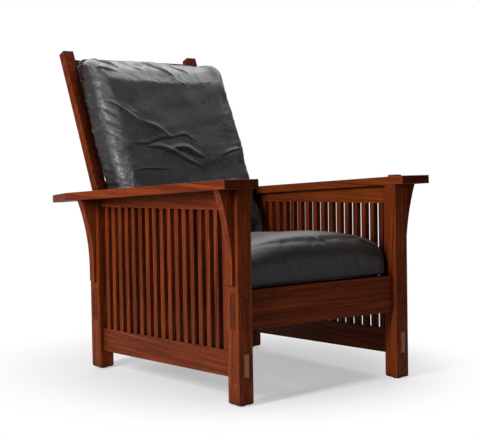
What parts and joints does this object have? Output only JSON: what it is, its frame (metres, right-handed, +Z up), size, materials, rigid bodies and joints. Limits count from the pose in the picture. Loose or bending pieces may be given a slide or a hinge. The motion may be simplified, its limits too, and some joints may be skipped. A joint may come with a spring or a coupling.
{
  "type": "mission reclining armchair",
  "caption": "Reclining armchair with flat plank arms, square-spindle sides, curved corbels under the arms, a hinged ladder back held by pegs, and leather seat and back cushions.",
  "frame": {"origin": "on the floor, under the middle of the chair's overall width and depth, back upright as pictured", "axes": "+Z up, +Y towards the back of the chair, +X to the sitter's left; the sitter looks along -Y"},
  "size_m": [0.819, 1.0937, 1.0579],
  "materials": {
    "stained_oak": "satin",
    "deck_wood": "matte",
    "black_leather": "satin",
    "dark_steel": "satin",
    "glide_nylon": "matte"
  },
  "bodies": {
    "frame": {"arm_left": "stained_oak", "arm_right": "stained_oak", "cleat_screws": "dark_steel", "corbel_plugs": "stained_oak", "corbel_screws": "dark_steel", "front_corbel_left": "stained_oak", "front_corbel_right": "stained_oak", "front_leg_left": "stained_oak", "front_leg_right": "stained_oak", "front_seat_rail": "stained_oak", "hinge_fixed_leaf_left": "dark_steel", "hinge_fixed_leaf_right": "dark_steel", "hinge_fixed_screws": "dark_steel", "hinge_pins": "dark_steel", "joint_pins": "stained_oak", "leg_glides": "glide_nylon", "lower_side_rail_left": "stained_oak", "lower_side_rail_right": "stained_oak", "rear_cleat": "deck_wood", "rear_corbel_left": "stained_oak", "rear_corbel_right": "stained_oak", "rear_leg_left": "stained_oak", "rear_leg_right": "stained_oak", "rear_seat_rail": "stained_oak", "seat_cushion": "black_leather", "seat_slat_1": "deck_wood", "seat_slat_2": "deck_wood", "seat_slat_3": "deck_wood", "seat_slat_4": "deck_wood", "seat_slat_5": "deck_wood", "seat_slat_6": "deck_wood", "seat_slat_7": "deck_wood", "seat_slat_8": "deck_wood", "side_cleat_left": "deck_wood", "side_cleat_right": "deck_wood", "slat_screws": "dark_steel", "spindles_left": "stained_oak", "spindles_right": "stained_oak", "upper_side_rail_left": "stained_oak", "upper_side_rail_right": "stained_oak"},
    "back": {"back_bottom_rail": "stained_oak", "back_cushion": "black_leather", "back_slat_1": "stained_oak", "back_slat_2": "stained_oak", "back_slat_3": "stained_oak", "back_slat_4": "stained_oak", "back_stile_left": "stained_oak", "back_stile_right": "stained_oak", "back_top_slat": "stained_oak", "hinge_moving_leaf_left": "dark_steel", "hinge_moving_leaf_right": "dark_steel", "hinge_moving_screws": "dark_steel"},
    "left_peg": {"support_peg_left": "stained_oak"},
    "right_peg": {"support_peg_right": "stained_oak"}
  },
  "joints": [
    {"name": "back_recline", "type": "hinge", "parent": "frame", "child": "back", "pos_m": [0, 0.19969, 0.27215], "axis": [-1, 0, 0], "range_deg": [0, 21]},
    {"name": "left_peg_pull", "type": "slide", "parent": "frame", "child": "left_peg", "axis": [1, 0, 0], "range_m": [0, 0.034]},
    {"name": "right_peg_pull", "type": "slide", "parent": "frame", "child": "right_peg", "axis": [-1, 0, 0], "range_m": [0, 0.034]}
  ]
}
